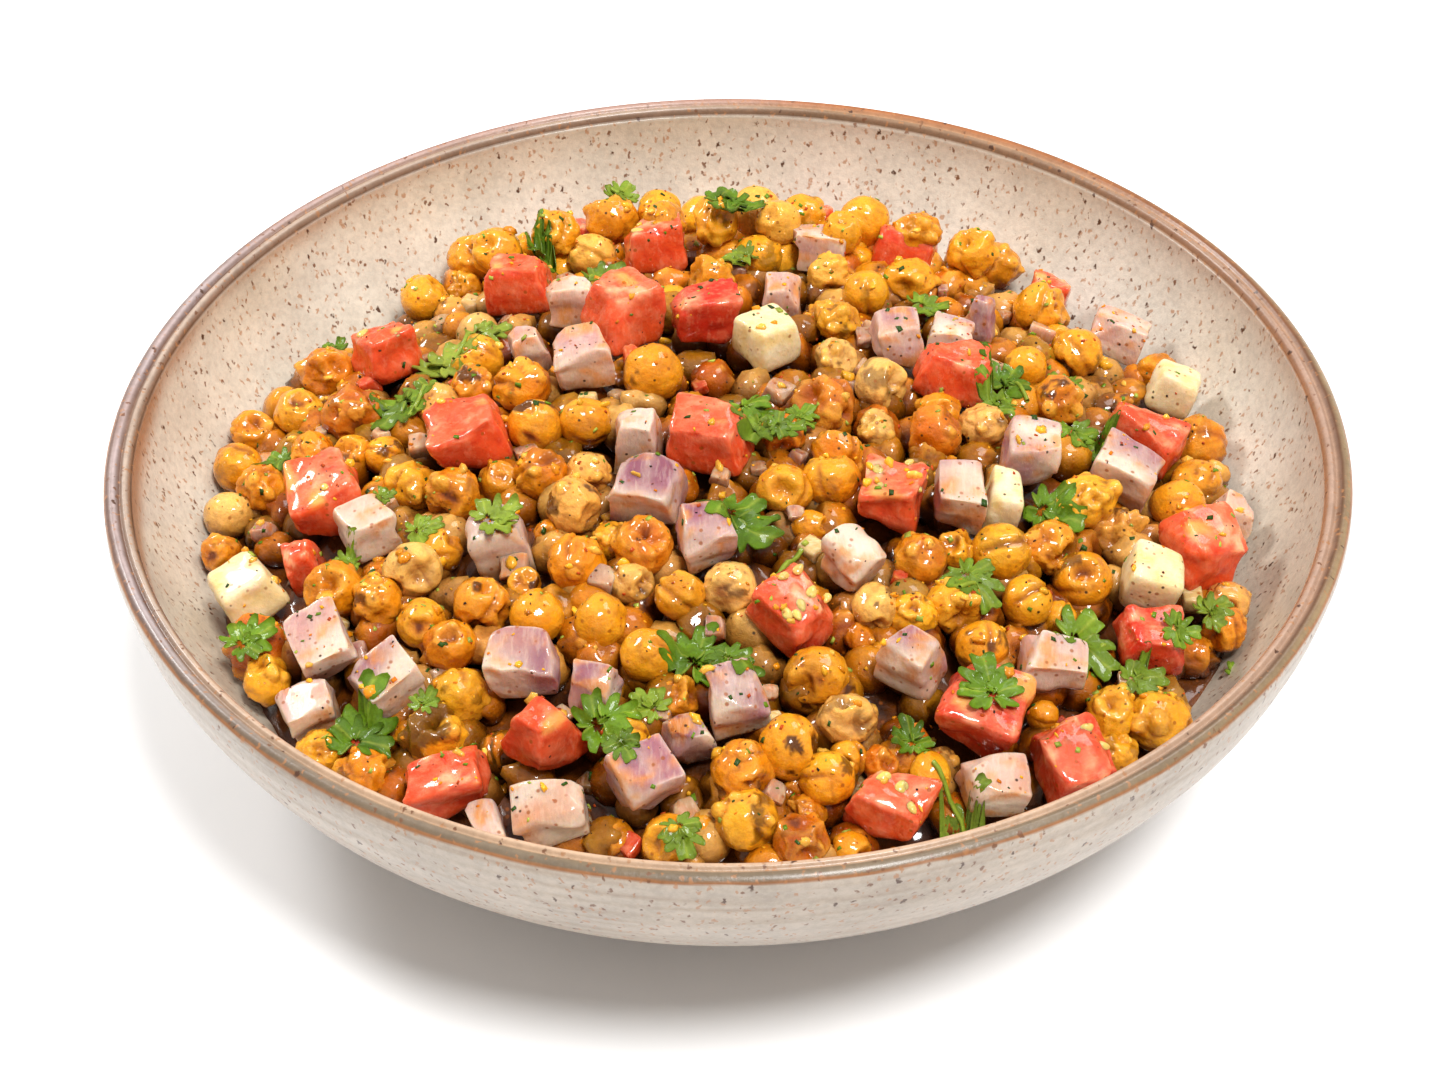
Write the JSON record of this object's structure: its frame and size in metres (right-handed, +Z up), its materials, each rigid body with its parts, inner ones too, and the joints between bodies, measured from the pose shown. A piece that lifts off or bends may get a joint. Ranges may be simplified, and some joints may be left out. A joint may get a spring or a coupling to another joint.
{
  "type": "chickpea salad in a bowl",
  "caption": "Warm chickpea salad with diced tomato, onion, potato and coriander leaves, heaped in a wide speckled stoneware bowl that holds and serves it.",
  "frame": {"origin": "centre of the foot's underside, on the surface that the bowl stands on", "axes": "+Z up through the middle of the bowl, -Y towards the viewer, +X to the viewer's right"},
  "size_m": [0.21, 0.21, 0.0614],
  "materials": {
    "stoneware": "glossy speckled grey-beige glaze with a brown rim",
    "chickpea": null,
    "tomato": null,
    "onion": null,
    "potato": null,
    "coriander": null
  },
  "bodies": {
    "root": {"bowl": "stoneware", "heap": "chickpea", "tomato_01": "tomato", "tomato_02": "tomato", "tomato_03": "tomato", "tomato_04": "tomato", "tomato_05": "tomato", "tomato_06": "tomato", "tomato_07": "tomato", "tomato_08": "tomato", "tomato_09": "tomato", "tomato_10": "tomato", "tomato_11": "tomato", "tomato_12": "tomato", "tomato_13": "tomato", "tomato_14": "tomato", "tomato_15": "tomato", "tomato_16": "tomato", "tomato_17": "tomato", "tomato_18": "tomato", "tomato_19": "tomato", "tomato_20": "tomato", "onion_01": "onion", "onion_02": "onion", "onion_03": "onion", "onion_04": "onion", "onion_05": "onion", "onion_06": "onion", "onion_07": "onion", "onion_08": "onion", "onion_09": "onion", "onion_10": "onion", "onion_11": "onion", "onion_12": "onion", "onion_13": "onion", "onion_14": "onion", "onion_15": "onion", "onion_16": "onion", "onion_17": "onion", "onion_18": "onion", "onion_19": "onion", "onion_20": "onion", "onion_21": "onion", "onion_22": "onion", "onion_23": "onion", "potato_01": "potato", "potato_02": "potato", "potato_03": "potato", "potato_04": "potato", "leaf_01": "coriander", "leaf_02": "coriander", "leaf_03": "coriander", "leaf_04": "coriander", "leaf_05": "coriander", "leaf_06": "coriander", "leaf_07": "coriander", "leaf_08": "coriander", "leaf_09": "coriander", "leaf_10": "coriander", "leaf_11": "coriander"}
  },
  "joints": []
}
